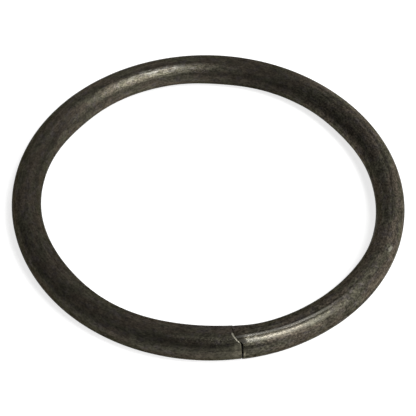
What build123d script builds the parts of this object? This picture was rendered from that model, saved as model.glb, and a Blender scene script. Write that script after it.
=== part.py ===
from build123d import *
from math import cos, radians, sin
import os

# A retaining ring of round spring wire: one turn of wire, closed until its two ends almost touch.
# It snaps into a groove with a round bottom, cut in a shaft.
# All sizes are in millimetres and all angles in degrees. The ring lies flat, with its axis along Z.
# The origin is the ring's centre, at half the wire's height. The split faces -Y.

# The wire, and the ring that it is coiled to
wire_diameter = 4.76
outside_diameter = 63.5

# The split between the two cropped ends, with its gap measured along the wire
split_gap = 0.26
split_azimuth = -90

# The blade cropped the lower part of the wire square, and the rest askew. It left a nip in one end: a
# slope that falls from the top of the wire to the square face. The other end kept a lip of the same
# form, which lies over the nip. The lean turns both about the wire, towards the middle of the ring.
nip_depth = 1.2
nip_length = 1.15
nip_lean = 22

# The blade drew the rim of the lip down as it entered. Where it broke through, the rims are sharp.
lip_rollover = 0.3

# Sizes that follow from those above
wire_radius = wire_diameter / 2
mean_radius = (outside_diameter - wire_diameter) / 2
half_gap = split_gap / 2
foot_height = wire_radius - nip_depth

# The place of the split, and directions there: the nipped end lies clockwise of it
turn = radians(split_azimuth)
tilt = radians(nip_lean)
outwards = Vector(cos(turn), sin(turn), 0)
clockwise = Vector(sin(turn), -cos(turn), 0)
leaning_outwards = outwards * cos(tilt) + Vector(0, 0, sin(tilt))
split_middle = outwards * mean_radius

with BuildPart() as retaining_ring:
    # One whole turn of the wire's round section, which starts opposite the split
    with BuildSketch(Plane(origin=-split_middle, x_dir=-outwards, z_dir=clockwise)):
        Circle(wire_radius)
    revolve(axis=Axis.Z, revolution_arc=360)

    # The blade's cut, as seen from the side of the wire: x runs clockwise along the wire, and y rises
    # from its middle, leaning inwards. Its two sides are one line, set apart by the gap. It overruns
    # the wire above and below.
    overrun = wire_diameter
    run_of_slope = (overrun - foot_height) * nip_length / nip_depth
    with BuildSketch(Plane(origin=split_middle, x_dir=clockwise, z_dir=-leaning_outwards)):
        with BuildLine():
            Polyline(
                (-half_gap, -overrun),
                (-half_gap, foot_height),
                (run_of_slope - half_gap, overrun),
                (run_of_slope + half_gap, overrun),
                (half_gap, foot_height),
                (half_gap, -overrun),
                close=True,
            )
        make_face()
    extrude(amount=wire_diameter, both=True, mode=Mode.SUBTRACT)

    # The cropped faces, told apart by how far they turn to the clockwise side. The rim of the lip is
    # the round edge of its slope, and the straight edge is where the cut goes askew.
    cropped_faces = retaining_ring.faces().filter_by(GeomType.PLANE)
    by_turn = cropped_faces.sort_by(lambda face: face.normal_at().dot(clockwise))
    nip_square, nip_slope, lip_slope, lip_square = by_turn
    fillet(lip_slope.edges().filter_by(GeomType.LINE, reverse=True), radius=lip_rollover)

retaining_ring.part.label = "retaining_ring"

os.makedirs("parts", exist_ok=True)
export_step(retaining_ring.part, "parts/retaining_ring.step")
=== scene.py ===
# %% [markdown]
# A retaining ring of round spring wire.
# This lesson dresses one small steel part: a single turn of round wire, closed until its two cropped
# ends almost touch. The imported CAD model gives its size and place. Everything here adds what the eye
# sees and the solid leaves out: the uneven skin of drawn and tempered wire, the marks of the drawing
# die, the burr at the cut, the lip that the blade drew down beside it, and the light that falls on them.

# %% Load the frame
from math import atan2, cos, degrees, exp, hypot, pi, radians, sin, sqrt

import bmesh
import bpy
from mathutils import Matrix, Vector, noise


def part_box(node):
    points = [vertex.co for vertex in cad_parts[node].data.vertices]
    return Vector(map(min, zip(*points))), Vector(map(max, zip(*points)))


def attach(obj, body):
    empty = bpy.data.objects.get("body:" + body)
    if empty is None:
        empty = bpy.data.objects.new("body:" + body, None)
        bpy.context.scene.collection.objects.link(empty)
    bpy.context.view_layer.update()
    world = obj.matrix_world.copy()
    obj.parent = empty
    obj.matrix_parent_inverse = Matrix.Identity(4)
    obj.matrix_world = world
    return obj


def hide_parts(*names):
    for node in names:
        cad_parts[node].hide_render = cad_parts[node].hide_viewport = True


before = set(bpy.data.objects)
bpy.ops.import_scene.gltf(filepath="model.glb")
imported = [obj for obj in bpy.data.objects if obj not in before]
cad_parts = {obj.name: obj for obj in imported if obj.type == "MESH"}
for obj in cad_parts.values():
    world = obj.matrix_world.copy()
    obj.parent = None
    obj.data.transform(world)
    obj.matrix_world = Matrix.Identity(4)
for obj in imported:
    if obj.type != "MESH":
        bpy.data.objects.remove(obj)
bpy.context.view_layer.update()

millimetre = 0.001

# %% [markdown]
# The sizes of the ring come from the frame, so the dressed ring always fits the solid that it replaces.
# Half of the box's height is the radius of the wire. Half of its width, less that radius, is the
# radius of the circle that the middle of the wire follows.

# %% Sizes of the wire and the ring
lowest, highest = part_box("retaining_ring")
wire_radius = (highest.z - lowest.z) / 2
mean_radius = (highest.x - lowest.x) / 2 - wire_radius
wire_length = 2 * pi * mean_radius
print(f"wire {wire_radius * 2 / millimetre:.2f} mm thick, {wire_length / millimetre:.1f} mm round the ring")

# %% [markdown]
# The split faces -Y. Its gap is measured along the middle of the wire, as in the solid. The blade went
# askew through the upper part of the wire: it left a nip in the end at the -X side, and on the other
# end a lip that lies over the nip. The slope of both leans towards the middle of the ring. The rim of
# each end is rolled over a little, because no blade leaves a perfectly sharp edge.

# %% Sizes of the split
split_azimuth = radians(-90)
split_gap = 0.26 * millimetre
nip_depth = 1.2 * millimetre
nip_length = 1.15 * millimetre
nip_lean = radians(22)
end_rollover = 0.07 * millimetre
print(f"the crop runs askew at {degrees(atan2(nip_length, nip_depth)):.0f} degrees")

# %% [markdown]
# The camera comes first, because it decides which details can be seen. It stands a little to the left
# of the split and looks down on the ring from about fifty degrees, far away through a long lens, so
# the circle is an even ellipse with little perspective. It is leaned over by two degrees.

# %% Camera
camera_azimuth = split_azimuth - radians(10.37)
camera_elevation = radians(49.4725)
camera_lean = radians(1.9478)
camera_distance = 6.5 * mean_radius
slide_right = -0.00391 * mean_radius
slide_up = -0.08301 * mean_radius
focal_length_mm = 101.61
sensor_width_mm = 36

backwards = Vector((
    cos(camera_elevation) * cos(camera_azimuth),
    cos(camera_elevation) * sin(camera_azimuth),
    sin(camera_elevation),
))
level_right = Vector((-sin(camera_azimuth), cos(camera_azimuth), 0))
level_up = backwards.cross(level_right)
camera_right = level_right * cos(camera_lean) + level_up * sin(camera_lean)
camera_up = level_up * cos(camera_lean) - level_right * sin(camera_lean)
stand = backwards * camera_distance + camera_right * slide_right + camera_up * slide_up

lens = bpy.data.cameras.new("camera")
lens.lens = focal_length_mm
lens.sensor_width = sensor_width_mm
camera = bpy.data.objects.new("camera", lens)
turned = Matrix((camera_right, camera_up, backwards)).transposed().to_4x4()
camera.matrix_world = Matrix.Translation(stand) @ turned
bpy.context.collection.objects.link(camera)
bpy.context.scene.camera = camera
print("camera at", tuple(round(part, 4) for part in stand))

# %% [markdown]
# The wire is swept, not drawn point by point: a circle of short edges stands across the wire, and
# bmesh spins it about the ring's axis, as a coiling machine bends straight wire round one centre.

# %% Sweep a section of the wire
section_sides = 120


def edges_of(parts):
    return [part for part in parts if isinstance(part, bmesh.types.BMEdge)]


def verts_of(parts):
    return [part for part in parts if isinstance(part, bmesh.types.BMVert)]


def everything(shape):
    return shape.verts[:] + shape.edges[:] + shape.faces[:]


def stand_section(shape, azimuth):
    """A circle of edges across the wire, at an azimuth on the ring."""
    verts = bmesh.ops.create_circle(
        shape, cap_ends=False, segments=section_sides, radius=wire_radius)["verts"]
    upright = Matrix.Rotation(azimuth, 3, "Z") @ Matrix.Rotation(radians(90), 3, "X")
    middle = Vector((cos(azimuth), sin(azimuth), 0)) * mean_radius
    bmesh.ops.rotate(shape, verts=verts, cent=(0, 0, 0), matrix=upright)
    bmesh.ops.translate(shape, verts=verts, vec=middle)
    return verts + list({edge for vert in verts for edge in vert.link_edges})


def coil(shape, loop, angle, steps):
    """Sweep a loop of edges round the ring's axis."""
    bmesh.ops.spin(
        shape, geom=loop, cent=(0, 0, 0), axis=(0, 0, 1), dvec=(0, 0, 0), angle=angle,
        steps=steps, use_merge=False, use_normal_flip=False, use_duplicate=False)


print("sides of the wire's section:", section_sides)

# %% [markdown]
# One end is made first, by itself, with short steps for the fine shapes that it will get. It is closed
# ring by ring: the first few rings bend over the cropped edge, along a quarter of a circle, and the rest
# shrink to the middle of the face, where a fan of triangles shuts it. The other end is its mirror image.

# %% The two ends
fine_stretch = 4 * millimetre
fine_steps = 50
rollover_steps = 4
face_rings = 15
smallest_ring = 0.05

gap_angle = split_gap / mean_radius
rollover_angle = end_rollover / mean_radius
fine_angle = fine_stretch / mean_radius
start_azimuth = split_azimuth + gap_angle / 2 + rollover_angle


def step_ring(shape, loop, middle, grow, move):
    """Extrude a loop, scale its copy about the middle and move it, and return the copy."""
    extruded = bmesh.ops.extrude_edge_only(shape, edges=edges_of(loop))["geom"]
    verts = verts_of(extruded)
    fresh = set(verts)
    bmesh.ops.scale(shape, vec=(grow, grow, grow), space=Matrix.Translation(-middle), verts=verts)
    bmesh.ops.translate(shape, vec=move, verts=verts)
    return verts + [edge for edge in edges_of(extruded) if fresh.issuperset(edge.verts)]


def close_end(shape, loop, azimuth):
    """Roll the round edge of an end that looks clockwise over, and close its face."""
    middle = Vector((cos(azimuth), sin(azimuth), 0)) * mean_radius
    facing = Vector((sin(azimuth), -cos(azimuth), 0))
    radius = wire_radius
    risen = 0
    for step in range(1, rollover_steps + 1):
        bend = radians(90) * step / rollover_steps
        bent_radius = wire_radius - end_rollover * (1 - cos(bend))
        rise = end_rollover * sin(bend) - risen
        loop = step_ring(shape, loop, middle + facing * risen, bent_radius / radius, facing * rise)
        radius = bent_radius
        risen += rise
    face_radius = radius
    for step in range(1, face_rings + 1):
        smaller = face_radius * (1 - (1 - smallest_ring) * step / face_rings)
        loop = step_ring(shape, loop, middle + facing * risen, smaller / radius, Vector())
        radius = smaller
    lid = bmesh.ops.contextual_create(shape, geom=edges_of(loop))["faces"]
    bmesh.ops.poke(shape, faces=lid)


ends = bmesh.new()
first_loop = stand_section(ends, start_azimuth)
close_end(ends, first_loop, start_azimuth)
coil(ends, first_loop, fine_angle, fine_steps)
bmesh.ops.mirror(ends, geom=everything(ends), matrix=Matrix.Identity(4), merge_dist=0, axis="X")
ends_mesh = bpy.data.meshes.new("wire_ends")
ends.to_mesh(ends_mesh)
print("faces in the two ends:", len(ends.faces))
ends.free()

# %% [markdown]
# The rest of the ring is plain wire. An eighth of it is swept in longer steps, and the copy is doubled
# three times round the axis. Doubling is quicker than one long spin, because each step of a spin walks
# through all that is there already. Then the ends join it, and the points that meet are merged. Blender
# extrudes in an order that changes from run to run, so all is put in order by place at the end.

# %% The whole ring
doublings = 3
stretch_steps = 80
merge_distance = 0.001 * millimetre
stretch_angle = (2 * pi - gap_angle - 2 * rollover_angle - 2 * fine_angle) / 2 ** doublings


def put_in_order(parts, key):
    """Number the points, edges or faces by a key, and store them in that order."""
    for index, part in enumerate(sorted(parts, key=key)):
        part.index = index
    parts.sort()


def corner_numbers(part):
    return sorted(vert.index for vert in part.verts)


shape = bmesh.new()
coil(shape, stand_section(shape, start_azimuth + fine_angle), stretch_angle, stretch_steps)
for doubling in range(doublings):
    copy = bmesh.ops.duplicate(shape, geom=everything(shape))["geom"]
    bmesh.ops.rotate(
        shape, verts=verts_of(copy), cent=(0, 0, 0),
        matrix=Matrix.Rotation(stretch_angle * 2 ** doubling, 3, "Z"))
shape.from_mesh(ends_mesh)
bpy.data.meshes.remove(ends_mesh)
bmesh.ops.remove_doubles(shape, verts=shape.verts, dist=merge_distance)
bmesh.ops.recalc_face_normals(shape, faces=shape.faces)
put_in_order(shape.verts, lambda vert: vert.co[:])
put_in_order(shape.edges, corner_numbers)
put_in_order(shape.faces, corner_numbers)
open_edges = sum(not edge.is_manifold for edge in shape.edges)
print("faces:", len(shape.faces), "open edges:", open_edges, "volume:", shape.calc_volume(signed=True))

# %% [markdown]
# The surface is then worked, as a blade, a die or a knock works the real wire. Each point is
# first read as a place on the wire: how far along it from the split, round the ring to the nipped end,
# how far out from the middle circle, and how high. It is moved there, and written back as a point.
# Round the wire, places are told by an angle: 0 on the outside of the ring, 90 on top, 180 inside.


# %% Places on the wire
def read_place(point):
    """Along the wire from the middle of the split, outwards from the middle circle, and up."""
    turn = atan2(-point.x, point.y) + pi
    return Vector((turn * mean_radius, hypot(point.x, point.y) - mean_radius, point.z))


def write_place(place):
    azimuth = place.x / mean_radius + split_azimuth
    rho = mean_radius + place.y
    return Vector((rho * cos(azimuth), rho * sin(azimuth), place.z))


def around_wire(place):
    """How far round the wire a place is, in degrees from the outside over the top."""
    return degrees(atan2(place.z, place.y))


def smooth_step(value, low, high):
    share = min(max((value - low) / (high - low), 0), 1)
    return share * share * (3 - 2 * share)


def hump(value, middle, width):
    return exp(-((value - middle) / width) ** 2)


print("the top of the wire is at", around_wire(Vector((0, 0, wire_radius))), "degrees")

# %% [markdown]
# The crop. Above the foot of the slope the nipped end is pushed back behind the cut, and the lip on the
# other end is pulled out over it by as much. The cut starts in a soft crease and bows a little along
# its slope.

# %% The line of the cut
crease = 0.05 * millimetre
crop_bow = 0.13 * millimetre


def height_on_slope(place):
    """How high a place is, square to the foot of the leaning slope."""
    return place.z * cos(nip_lean) - place.y * sin(nip_lean)


def cut_at(height):
    """How far along the wire the askew part of the cut has run at a height."""
    cut = (height - wire_radius + nip_depth) * nip_length / nip_depth
    cut = (cut + sqrt(cut * cut + crease * crease)) / 2
    share = min(cut / nip_length, 1)
    return cut + crop_bow * 4 * share * (1 - share)


print(f"at the top the cut has run {cut_at(wire_radius * cos(nip_lean)) / millimetre:.2f} mm")

# %% [markdown]
# The faces of the two ends are torn, not cut clean. They are a little ragged, and they stand nearer to
# one another than in the solid, more so low on the outside and on the inside of the ring. The torn edge
# of the nip also bulges towards the lip. Behind that edge its face is hollow, which leaves room for the
# lip that is drawn down beside it, so the two ends never pass into one another.

# %% The faces of the two ends
pinch = 0.03 * millimetre
lower_pinch = 0.03 * millimetre
inner_pinch = 0.06 * millimetre
torn_bulge = 0.11 * millimetre
hollow_depth = 0.16 * millimetre
edge_reach = 0.97 * wire_radius
hollow_reach = 0.91 * wire_radius
ragged_depth = 0.025 * millimetre
nip_layer = 2.4
lip_layer = 6.1
inside_starts = 108
inside_full = 125
low_starts = 10
low_full = -20
low_fades = -50
low_ends = -90


def ragged_noise(first, second, layer):
    """How torn metal strays from a clean cut, from about -1 to 1."""
    return noise.noise(Vector((first / millimetre * 1.8, second / millimetre * 1.2, layer)))


def face_shift(place, cut, askew, nipped):
    """How far back the face of an end stands at a place, from where a square cut would leave it."""
    around = around_wire(place)
    inside = smooth_step(around, inside_starts, inside_full)
    low = smooth_step(around, low_starts, low_full) * smooth_step(around, low_ends, low_fades)
    ragged = ragged_noise(height_on_slope(place), place.y, nip_layer if nipped else lip_layer)
    shift = ragged * ragged_depth - pinch - lower_pinch * low - inner_pinch * inside
    if not nipped:
        return shift - cut
    hollow = hollow_depth * smooth_step(hypot(place.y, place.z), edge_reach, hollow_reach)
    return shift + cut - askew * (torn_bulge * (1 - inside) - hollow)


low_gap = split_gap - 2 * (pinch + lower_pinch)
print(f"low on the outside the ends stand {low_gap / millimetre:.2f} mm apart")

# %% [markdown]
# The blade drew the lip's upper side down as it entered, in a slope that is steepest at its rim. On the
# nipped end it left a narrow chamfer, with a thin burr of torn metal standing up behind it. The steel
# is bare there, and brightest half way along the slope.

# %% The skin beside the cut
lip_hinge = 0.75 * millimetre
lip_sink = 0.30 * millimetre
lip_sink_inside = 0.03 * millimetre
chamfer_sink = 0.12 * millimetre
chamfer_reach = 0.24 * millimetre
burr_height = 0.07 * millimetre
burr_inset = 0.15 * millimetre
burr_width = 0.11 * millimetre
burr_layer = 9.5
torn_reach = 0.31 * millimetre
torn_edge = 0.07 * millimetre
brightest_at = 0.65 * millimetre
dimmest_share = 0.6
burr_ends = 102
burr_full = 86
sink_starts = 135
sink_full = 100


def drawn_down(from_rim, reach):
    """A slope that is steepest at the rim and dies away at its reach."""
    return max(1 - from_rim / reach, 0) ** 2


def lip_skin(place, cut, askew, from_rim):
    """How far the skin of the lip is drawn down at a place."""
    on_top = smooth_step(around_wire(place), sink_starts, sink_full)
    deepest = lip_sink_inside + (lip_sink - lip_sink_inside) * on_top
    return askew * deepest * drawn_down(from_rim, lip_hinge + cut - split_gap / 2)


def nipped_skin(place, cut, askew, from_rim):
    """How far the skin of the nipped end sinks at a place, and how much of it is torn bare metal."""
    on_top = askew * smooth_step(around_wire(place), burr_ends, burr_full)
    wander = ragged_noise(height_on_slope(place) * 2, 0, burr_layer) * burr_width
    sunk = chamfer_sink * drawn_down(from_rim, chamfer_reach)
    sunk -= burr_height * hump(from_rim, burr_inset + wander, burr_width)
    torn_to = torn_reach + wander
    torn = smooth_step(from_rim, torn_to + torn_edge, torn_to - torn_edge)
    torn *= dimmest_share + (1 - dimmest_share) * hump(cut, brightest_at, brightest_at / 2)
    return on_top * sunk, on_top * torn


print("the lip's rim is drawn down by", lip_sink / millimetre, "mm")

# %% [markdown]
# The moves of the faces fade out over a few millimetres of wire behind them, so the rings of the mesh
# crowd together or spread there and none of them cross.

# %% Crop the ends
fade_length = 3 * millimetre
askew_from = 0.02 * millimetre
askew_to = 0.18 * millimetre


def crop(place):
    """Move a place near the split to where the crop left it.

    Returns the place, how far the skin sinks there, and how much of it is torn bare metal."""
    nipped = place.x > wire_length / 2
    back = (wire_length - place.x if nipped else place.x) - split_gap / 2
    if back > fade_length:
        return place, 0, 0
    cut = cut_at(height_on_slope(place))
    askew = smooth_step(cut, askew_from, askew_to)
    shift = face_shift(place, cut, askew, nipped)
    from_rim = back * (fade_length - shift) / fade_length
    x = split_gap / 2 + shift + from_rim
    if nipped:
        sunk, torn = nipped_skin(place, cut, askew, from_rim)
        return Vector((wire_length - x, place.y, place.z)), sunk, torn
    return Vector((x, place.y, place.z)), lip_skin(place, cut, askew, from_rim), 0


lip_top = crop(Vector((split_gap / 2, 0, wire_radius)))[0]
print(f"on top the lip reaches {-lip_top.x / millimetre:.2f} mm past the middle of the split")

# %% [markdown]
# Drawn wire is never a perfect cylinder. Shallow waves a few millimetres long come from coiling it, and
# small dents from the scale that was pressed into it. A worn drawing die left a low ridge along the top
# of the wire, with a shorter groove beside it. None of them is more than a few hundredths of a
# millimetre, which a caliper would hardly find, but they are what makes a highlight waver.

# %% Waves, dents and the marks of the die
wave_height = 0.014 * millimetre
dent_height = 0.010 * millimetre
wave_scale = Vector((0.12, 0.3, 0.3))
dent_scale = Vector((0.6, 0.9, 0.9))
dent_shift = Vector((40, 0, 0))
ridge_around = 82
ridge_length = 77 * millimetre
groove_around = 70.5
groove_length = 16 * millimetre
full_share = 0.8
die_marks = (
    (ridge_around, 3.6, 0.028 * millimetre, ridge_length),
    (groove_around, 2.4, -0.010 * millimetre, groove_length),
)


def surface_height(place):
    """How far the waves, the dents and the marks of the die stand out at a place."""
    here = place / millimetre
    height = noise.noise(here * wave_scale) * wave_height
    height += noise.noise(here * dent_scale + dent_shift) * dent_height
    for mark_around, width, rise, length in die_marks:
        if place.x < length:
            fade = smooth_step(place.x, length, length * full_share)
            height += rise * fade * hump(around_wire(place), mark_around, width)
    return height


print("marks of the die:", len(die_marks))

# %% [markdown]
# A knock left one nick on the outside of the ring, to the right of the split. It is a shallow dent that
# leans a little across the wire, with bare steel in it.

# %% The nick
nick_along = 29.2 * millimetre
nick_around = 53
nick_length = 0.75 * millimetre
nick_spread = 8
nick_depth = 0.05 * millimetre
nick_slant = 0.3


def nick(place):
    """How deep the nick is at a place, as a share of its depth."""
    along = (place.x - nick_along) / nick_length
    if abs(along) > 3:
        return 0
    around = (around_wire(place) - nick_around) / nick_spread
    leaning = along + around * nick_slant
    return exp(-leaning ** 2 - around ** 2)


print(f"the nick is {degrees(nick_along / mean_radius):.0f} degrees round the ring from the split")

# %% [markdown]
# The wire is uneven as well, by up to a third of a millimetre. Most of its thick and thin places are on
# the inside of the ring, as the pressure of a coiling tool would leave them, and both ends are a little
# swollen at the cut. Each place is one row: where its middle is along the wire and which way it faces
# round it, in millimetres and degrees, how far it reaches along the wire, and how far it stands out.

# %% Thick and thin places
uneven_spread = 35
uneven_places = (
    (0, 132, 1.9, 0.21),
    (3, -38, 9, 0.09),
    (6, 128, 5, -0.09),
    (32.5, 168, 9.5, -0.35),
    (59.5, 198, 7.5, 0.27),
    (83, 42, 20, 0.20),
    (85.5, 217, 5.5, 0.18),
    (115, 195, 8, 0.34),
    (136, 165, 5.5, -0.12),
    (152.5, 150, 8, 0.20),
    (162, -34, 17, 0.15),
    (178, 139, 10, 0.32),
)


def unevenness(place):
    """How much further the coiled wire stands out at a place than round wire would."""
    along = place.x / millimetre
    height = 0
    for middle, facing, reach, rise in uneven_places:
        if abs(along - middle) < 3 * reach:
            away = (around_wire(place) - facing + 180) % 360 - 180
            height += rise * hump(along, middle, reach) * hump(away, 0, uneven_spread)
    return height * millimetre


print("thick and thin places:", len(uneven_places))

# %% [markdown]
# Now every point is moved. Only the skin is lifted or sunk in full: inside the wire, on the faces of the
# ends, the lift dies away. The lowest line of the wire stays true, so that the ring still rests on the
# floor. Two values are kept on each point for the material: its place on the wire, and how much bare
# metal it shows.

# %% Move every point
skin_from = 0.8
bare_to = 0.9
true_to = 0.85

wire_place = shape.verts.layers.float_vector.new("wire_place")
bare_metal = shape.verts.layers.float.new("bare_metal")
for vert in shape.verts:
    place = read_place(vert.co)
    round_section = Vector((0, place.y, place.z))
    reach = round_section.length / wire_radius
    struck = nick(place)
    lift = surface_height(place) + unevenness(place) - struck * nick_depth
    lift *= smooth_step(reach, skin_from, 1)
    lift *= smooth_step(place.z, -wire_radius, -true_to * wire_radius)
    place, sunk, torn = crop(place)
    vert[wire_place] = place / millimetre
    vert[bare_metal] = max(torn * smooth_step(reach, skin_from, bare_to), struck)
    place += round_section * ((lift - sunk) / wire_radius)
    vert.co = write_place(place)
print("points worked:", len(shape.verts))

# %% [markdown]
# The finished mesh becomes one object at the origin, riding on the ring's only body, and stands in for
# the CAD solid, which is hidden.

# %% The ring's object
mesh = bpy.data.meshes.new("spring_wire_ring")
shape.to_mesh(mesh)
shape.free()
mesh.shade_smooth()
ring = bpy.data.objects.new("spring_wire_ring", mesh)
bpy.context.collection.objects.link(ring)
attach(ring, "root")
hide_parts("retaining_ring")
print("triangles:", sum(len(face.vertices) - 2 for face in mesh.polygons))

# %% [markdown]
# Materials are built from nodes. A small class wraps a socket, so that the maths of a mask can be
# written as an ordinary expression. A second class is the material: one method adds any other node, and
# a few more are short names for the nodes that this finish uses most.


# %% Shader maths
class Signal:
    """The value of one socket, on its way through a material."""

    def __init__(self, finish, socket):
        self.finish = finish
        self.socket = socket

    def maths(self, operation, *others):
        values = dict(enumerate((self, *others)))
        return self.finish.node("ShaderNodeMath", {"operation": operation}, values)

    def __add__(self, other):
        return self.maths("ADD", other)

    def __mul__(self, other):
        return self.maths("MULTIPLY", other)

    def __sub__(self, other):
        return self.maths("SUBTRACT", other)

    def __rsub__(self, other):
        return (self * -1) + other

    def __truediv__(self, other):
        return self.maths("DIVIDE", other)

    __radd__ = __add__
    __rmul__ = __mul__

    def size(self):
        return self.maths("ABSOLUTE")

    def or_more(self, other):
        return self.maths("MAXIMUM", other)


class Finish:
    """A material and the nodes in it."""

    def __init__(self, name):
        self.material = bpy.data.materials.new(name)
        self.material.use_nodes = True
        self.tree = self.material.node_tree
        self.tree.nodes.clear()

    def node(self, kind, settings=None, values=None, output=0):
        """Add a node: its settings first, then the values or links of its sockets."""
        made = self.tree.nodes.new(kind)
        for name, setting in (settings or {}).items():
            setattr(made, name, setting)
        for name, value in (values or {}).items():
            if isinstance(value, Signal):
                self.tree.links.new(value.socket, made.inputs[name])
            else:
                made.inputs[name].default_value = value
        return Signal(self, made.outputs[output])

    def end_with(self, shader):
        made = self.tree.nodes.new("ShaderNodeOutputMaterial")
        self.tree.links.new(shader.socket, made.inputs["Surface"])

    def ramp(self, value, start, end, low=0.0, high=1.0):
        """A smooth step from low to high as the value goes from start to end."""
        return self.node(
            "ShaderNodeMapRange", {"interpolation_type": "SMOOTHSTEP"},
            {"Value": value, "From Min": start, "From Max": end, "To Min": low, "To Max": high})

    def band(self, value, middle, half_width, soft):
        """One inside a band of values, and nothing outside it, with soft edges."""
        return self.ramp((value - middle).size(), half_width + soft, half_width - soft)

    def clouds(self, vector, scale, detail, roughness):
        """Fractal noise from 0 to 1, in patches of about one over the scale."""
        return self.node(
            "ShaderNodeTexNoise", {"noise_dimensions": "3D"},
            {"Vector": vector, "Scale": scale, "Detail": detail, "Roughness": roughness})

    def blend(self, factor, first, second):
        """From the first colour to the second. A colour mix takes them at its sockets 6 and 7."""
        return self.node(
            "ShaderNodeMix", {"data_type": "RGBA"}, {0: factor, 6: first, 7: second}, output=2)


oxide = Finish("oil_tempered_oxide")
print("material:", oxide.material.name)

# %% [markdown]
# The wire's own coordinates, in millimetres, are stored on the mesh as an attribute: along the wire,
# outwards from the middle circle, and up. A pattern on them follows the wire round the ring, as the
# marks of the drawing die do, and it runs on over the lip without a seam. The nipped end is the far end
# of the wire, so places near it are told by how much wire is left before the split.

# %% Places in the material
position = oxide.node("ShaderNodeAttribute", {"attribute_name": "wire_place"}, output=1)
along, out, up = (
    oxide.node("ShaderNodeSeparateXYZ", values={0: position}, output=part) for part in range(3))
around = up.maths("ARCTAN2", out) * (180 / pi)
left_before_split = wire_length / millimetre - along


def stretched(factor, shift=0.0):
    """The wire's coordinates with patterns drawn out along the wire by a factor."""
    return oxide.node("ShaderNodeCombineXYZ", values={0: along / factor + shift, 1: out, 2: up})


print("nodes after the places:", len(oxide.tree.nodes))

# %% [markdown]
# The patterns of the skin are noise on those coordinates, each drawn out along the wire by its own
# factor, because drawing stretches every mark. They go from broad patches through mottling to a fine
# grain, and from draw lines of about five millimetres to long lines of fifteen. Each is taken from
# another stretch of the noise, so that no two have the same patches.

# %% Patterns of the skin
patches = oxide.clouds(stretched(2.5), 0.45, 4, 0.6)
tint = oxide.clouds(stretched(1.5, 120), 1.1, 3, 0.7)
mottle = oxide.clouds(stretched(1.6, 30), 1.4, 4, 0.65)
grain = oxide.clouds(stretched(1.5, 60), 4.0, 3, 0.6)
draw_lines = oxide.clouds(stretched(14, 90), 3.0, 3, 0.6)
long_lines = oxide.clouds(stretched(20, 200), 1.3, 2, 0.5)
scuffs = oxide.clouds(stretched(3, 300), 2.0, 4, 0.7)
print("nodes after the patterns:", len(oxide.tree.nodes))

# %% [markdown]
# The skin is one dark oxide, but its colour drifts with the heat and the oil of the tempering: brown,
# olive in large patches and violet in small ones. It is more olive low on both sides of the cut, and more
# violet on the inside by the cut. It is also more olive on the arc opposite the split and on the upper
# side by the lip, where the key's highlights fall: that tints those highlights, which are partly painted.
# Blending three colours by the patterns gives that drift. They are kept close, so that the ring still
# reads as one dark grey.

# %% Colours of the oxide
brown_oxide = (0.046, 0.0385, 0.0295, 1)
olive_oxide = (0.0405, 0.038, 0.0275, 1)
violet_oxide = (0.0438, 0.0382, 0.0362, 1)

# the arc opposite the split and the upper side by the lip: where the key's highlights fall, and where
# painted highlight is laid
far_highlight_zone = oxide.band(along, 96, 12, 6) * oxide.band(around, 130, 18, 10)
near_lip = oxide.ramp(along, 20, 12) * oxide.band(around, 62, 16, 8)
low_side = oxide.ramp(around, 52, 38)
beside_cut = oxide.ramp(left_before_split, 7.54, 2.54).or_more(oxide.ramp(along, 1.6, 0.8)) * low_side
inside_cut = oxide.ramp(left_before_split, 10.54, 5.54).or_more(oxide.ramp(along, 4, 2))
inside_cut = inside_cut * oxide.ramp(around, 110, 122)

hue = oxide.blend(oxide.ramp(patches, 0.42, 0.58), brown_oxide, olive_oxide)
hue = oxide.blend(oxide.ramp(tint, 0.48, 0.68) * 0.8, hue, violet_oxide)
more_olive = (far_highlight_zone * 0.35).or_more(beside_cut * 0.8).or_more(near_lip * 0.5)
hue = oxide.blend(more_olive, hue, olive_oxide)
hue = oxide.blend(inside_cut * 0.75, hue, violet_oxide)
print("nodes after the colours:", len(oxide.tree.nodes))

# %% [markdown]
# The tone of the skin is a number that scales those colours. Grain, mottling and draw lines darken and
# lighten it all over the ring. After them come the places that differ from the rest. Each is a mask and
# a share: the tone gets paler by that share inside the mask, or darker where the share is negative.

# %% Tone of the oxide
tone = oxide.ramp(grain, 0.30, 0.62, 0.62, 1.22)
tone = tone * oxide.ramp(mottle, 0.35, 0.65, 0.78, 1.22)
tone = tone * oxide.ramp(draw_lines, 0.30, 0.70, 0.85, 1.15)


def changed(tone, *changes):
    """A tone made paler or darker by a share in each of some places."""
    for mask, share in changes:
        tone = tone * (mask * share + 1)
    return tone


print("nodes after the tone:", len(oxide.tree.nodes))

# %% [markdown]
# For some way from the lip the skin is paler, on the outside most of all and less so on top. That side
# faces the lamps, so its paleness is partly a paler skin and partly painted light. The grain is stronger
# there, with long lines. Painted shade darkens a line beside the ridge of the die, the groove, and a
# patch where the rubbed streaks end, which trims the key's highlight there.

# %% The paler side by the lip
lit_side_length = ridge_length / millimetre
lit_side_by_lip = oxide.ramp(along + (mottle - 0.5) * 20, lit_side_length, lit_side_length - 12)
# partly paler skin, partly painted light on the side that faces the lamps
outside_paleness_and_light = oxide.ramp(around, 78, 70) * oxide.ramp(along, 8, 32, 0.08, 0.55)
top_paleness_and_light = oxide.ramp(around, 101, 94) * oxide.ramp(along, 10, 30, 0.3, 0.5)
long_streaks = oxide.ramp(long_lines, 0.35, 0.65, -1, 1)
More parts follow.
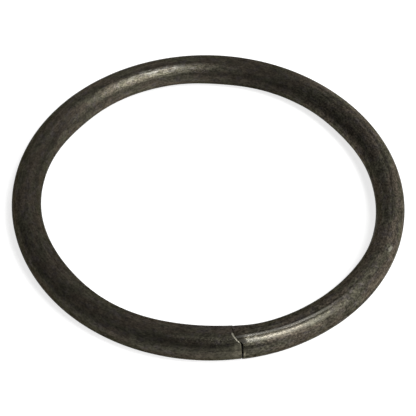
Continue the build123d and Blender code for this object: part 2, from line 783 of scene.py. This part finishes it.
# painted shade beside the ridge, in the groove, and past the streaks
ridge_shade = oxide.band(around, ridge_around + 3.5, 2.5, 1.5)
groove_shade = oxide.band(around, groove_around, 1.8, 1.2)
groove_shade = groove_shade * oxide.ramp(along, 18, 13) * oxide.ramp(along, 1.5, 4)
past_streaks_shade = oxide.band(along, 18, 10, 6) * oxide.band(around, 52, 14, 8)
tone = changed(
    tone,
    ((outside_paleness_and_light + top_paleness_and_light) * lit_side_by_lip, 1),
    (long_streaks * lit_side_by_lip, 0.18),
    ((grain - 0.5) * lit_side_by_lip * (1 - near_lip), 1.9),
    (ridge_shade * lit_side_by_lip, -0.3),
    (groove_shade, -0.4),
    (past_streaks_shade, -0.25),
)
print("nodes after the handled side:", len(oxide.tree.nodes))

# %% [markdown]
# Opposite the split, between the top and the inside of the wire, a painted highlight is laid over the
# key's own, broken into specks by the grain. The arc round there is also painted paler from the top
# outwards and again towards the inside, with a faint darker line of painted shade between: together they
# set where the far highlight lies. On the innermost side of the wire one stretch is paler, and the one
# before it darker.

# %% Opposite the split
# painted highlight on the far arc, in specks of grain
far_highlight_specks = far_highlight_zone * oxide.ramp(grain, 0.35, 0.65, 0.1, 0.6)
far_highlight_arc = oxide.band(along, 103, 12, 7)
inner_side = oxide.ramp(around.size(), 138, 155)
tone = changed(
    tone,
    (far_highlight_specks, 1),
    # painted shade above the far highlight, and painted highlight beside it
    (far_highlight_arc * oxide.band(around, 106, 5, 5), -0.15),
    (far_highlight_arc * oxide.ramp(around, 98, 92), 0.3),
    (far_highlight_arc * oxide.band(around, 139, 12, 8), 0.4),
    (inner_side * oxide.band(along, 112, 17, 8), 0.4),
    (inner_side * oxide.band(along, 72, 13, 7), -0.35),
)
print("nodes after the far arc:", len(oxide.tree.nodes))

# %% [markdown]
# By the split, the low side of the nipped end is paler. The lower rims of both ends are paler too, a
# painted highlight where their rolled edges catch the light. Above them a band of painted shade runs up
# to the nip, and it is darkest behind the burr.

# %% Beside the split
beside_nip = oxide.ramp(left_before_split, 14.54, 2.54) * oxide.ramp(around, 45, 25)
# painted highlight on the lower rims of both ends
nipped_rim_highlight = oxide.ramp(left_before_split, 1.74, 0.54) * low_side
lip_rim_highlight = oxide.band(along, 0.32, 0.10, 0.08) * oxide.ramp(around, 30, 15)
# painted shade in a band up to the nip, darkest behind the burr
painted_shade_band = oxide.ramp(left_before_split, 16.54, 9.54) * oxide.ramp(left_before_split, 0.84, 1.34)
painted_shade_band = painted_shade_band * oxide.band(around, 56, 14, 5)
shade_behind_burr = oxide.ramp(left_before_split, 3.24, 2.04) * oxide.ramp(left_before_split, 0.34, 0.64)
shade_behind_burr = shade_behind_burr * oxide.band(around, 60, 12, 6)
tone = changed(
    tone,
    (beside_nip, 0.3),
    (nipped_rim_highlight, 0.7),
    (lip_rim_highlight, 0.85),
    (painted_shade_band, -0.45),
    (shade_behind_burr, -0.3),
)
skin = oxide.node("ShaderNodeVectorMath", {"operation": "SCALE"}, {0: hue, 3: tone})
print("nodes after the split:", len(oxide.tree.nodes))

# %% [markdown]
# Beside the lip the top of the wire was rubbed smooth in two streaks, with the groove of the die
# between them, and opposite the split it is scuffed in short dashes. Wear starts on whatever stands
# out, so the patterns of the skin break the streaks up and fray their ends. The streaks and scuffs lie
# where the key's highlights fall: they are glossier, and they are also painted paler, as painted
# highlight.

# %% Rubbed streaks and scuffs
thick_streak_around = 59
thin_streak_around = 77.5
streak_end = 19

frayed = along + (mottle - 0.5) * 8
wander = (draw_lines - 0.5) * 8
thick_streak = oxide.band(around + wander, thick_streak_around, 7, 3) * oxide.ramp(frayed, streak_end, 5)
thin_streak = oxide.band(around, thin_streak_around, 4, 1.5) * oxide.ramp(frayed, streak_end, 8)
scuffed_and_highlit = oxide.band(along, 96, 6, 5) * oxide.band(around, 122, 11, 7) * oxide.ramp(scuffs, 0.45, 0.6)
rubbed_and_highlit = thick_streak.or_more(thin_streak * 1.1) * oxide.ramp(draw_lines, 0.3, 0.6, 0.6, 1.0)
rubbed_and_highlit = rubbed_and_highlit.or_more(scuffed_and_highlit)
print("nodes after the streaks:", len(oxide.tree.nodes))

# %% [markdown]
# Where the skin is rubbed the steel only glimmers through, a little more so at the lip's rim. That paler
# steel lies where the key's highlights fall, so it is partly rubbed steel and partly painted highlight.
# At the burr and in the nick the steel is bare: the mesh says where, and the grain frays the edge of it.
# Rubbed steel is nearly neutral, and freshly torn steel a little warmer.

# %% Steel that shows
rubbed_steel_and_highlight = (0.279, 0.271, 0.246, 1)
torn_steel = (0.30, 0.286, 0.23, 1)

# painted highlight, partly rubbed steel, in the streaks and the scuffs
glimmer_and_painted_highlight = (rubbed_and_highlit * oxide.ramp(along, 3.5, 1.5, 0.13, 0.3)).or_more(scuffed_and_highlit * 0.38)
glimmer_and_painted_highlight = glimmer_and_painted_highlight.or_more(thin_streak * oxide.ramp(along, 3.5, 1.5, 0.27, 0.4))
bare = oxide.node("ShaderNodeAttribute", {"attribute_name": "bare_metal"}, output=2)
bare = oxide.ramp(bare + (grain - 0.5) * 0.8, 0.35, 0.65)
colour = oxide.blend(glimmer_and_painted_highlight, skin, rubbed_steel_and_highlight)
colour = oxide.blend(bare, colour, torn_steel)
print("nodes after the steel:", len(oxide.tree.nodes))

# %% [markdown]
# The oxide shines like dull metal. Grain makes it glossier and duller from speck to speck, and rubbing
# makes it glossier. A shallow bump of grain, mottling and draw lines breaks the highlights up, less so
# where the streaks are rubbed smooth.

# %% The oxide's surface
metal_share = 0.6
bump_depth = 0.06 * millimetre
edge_tint = (0.4, 0.4, 0.38, 1)

gloss = oxide.ramp(grain, 0.3, 0.7, 0.38, 0.28) - rubbed_and_highlit * 0.07
relief = grain * 0.8 + mottle * 0.8 + draw_lines * 0.4
smoothed = thick_streak.or_more(thin_streak)
bump = oxide.node(
    "ShaderNodeBump",
    values={"Height": relief, "Strength": 1 - smoothed * 0.6, "Distance": bump_depth})
surface = oxide.node(
    "ShaderNodeBsdfPrincipled",
    values={"Base Color": colour, "Metallic": metal_share, "Roughness": gloss, "Normal": bump,
            "Specular IOR Level": 0.0, "Specular Tint": edge_tint})
oxide.end_with(surface)
mesh.materials.append(oxide.material)
print("nodes in the finished oxide:", len(oxide.tree.nodes))

# %% [markdown]
# The ring lies on a plain pale floor. The floor is a large flat sheet at the height of the wire's
# underside, part of the studio and not of the ring. It glows a little by itself, as a light table does,
# so that the shadow of the ring on it stays faint.

# %% Floor
floor_reach = 1.5
floor_grey = (0.45, 0.45, 0.45, 1)
floor_glow = 0.75

floor_shape = bmesh.new()
bmesh.ops.create_grid(floor_shape, x_segments=1, y_segments=1, size=floor_reach)
bmesh.ops.translate(floor_shape, verts=floor_shape.verts, vec=(0, 0, lowest.z))
floor_mesh = bpy.data.meshes.new("floor")
floor_shape.to_mesh(floor_mesh)
floor_shape.free()
floor = bpy.data.objects.new("floor", floor_mesh)
bpy.context.collection.objects.link(floor)
paper = Finish("pale_floor")
sheet = paper.node(
    "ShaderNodeBsdfPrincipled",
    values={"Base Color": floor_grey, "Roughness": 1.0, "Specular IOR Level": 0.0,
            "Emission Color": (1, 1, 1, 1), "Emission Strength": floor_glow})
paper.end_with(sheet)
floor_mesh.materials.append(paper.material)
print("floor at", round(lowest.z / millimetre, 2), "mm")

# %% [markdown]
# Five soft panels light the ring, all at one distance. A small bright one stands high at the front
# right and gives most of both highlights. A wider and dimmer one under it lights the side that faces
# it. The other three are weak: one stands high on the right, and two stand lower behind the ring. A
# faint even light fills the rest.


# %% Lights
panel_distance = 0.8
fill_strength = 0.06


def softbox(name, azimuth, elevation, width, height, radiance):
    """A soft panel that faces the ring from an azimuth and elevation, as bright as its radiance."""
    panel = bpy.data.lights.new(name, "AREA")
    panel.shape = "RECTANGLE"
    panel.size = width
    panel.size_y = height
    panel.energy = radiance * pi * width * height
    holder = bpy.data.objects.new(name, panel)
    away = Vector((cos(elevation) * cos(azimuth), cos(elevation) * sin(azimuth), sin(elevation)))
    holder.location = away * panel_distance
    holder.rotation_euler = away.to_track_quat("Z", "Y").to_euler()
    bpy.context.collection.objects.link(holder)


softbox("key_softbox", radians(-45), radians(60), 0.26, 0.34, 17.7)
softbox("low_key_panel", radians(-45), radians(36), 0.69, 0.34, 5.6)
softbox("high_back_panel", radians(22), radians(60), 0.5, 0.34, 2.0)
softbox("back_panel", radians(90), radians(36), 1.0, 0.34, 0.6)
softbox("low_back_panel", radians(90), radians(13), 2.0, 0.34, 0.8)

studio = bpy.data.worlds.new("studio")
studio.use_nodes = True
studio.node_tree.nodes["Background"].inputs["Color"].default_value = (1, 1, 1, 1)
studio.node_tree.nodes["Background"].inputs["Strength"].default_value = fill_strength
bpy.context.scene.world = studio

bpy.context.scene.view_settings.view_transform = "Standard"
bpy.context.scene.view_settings.look = "None"
print("panels:", len(bpy.data.lights))
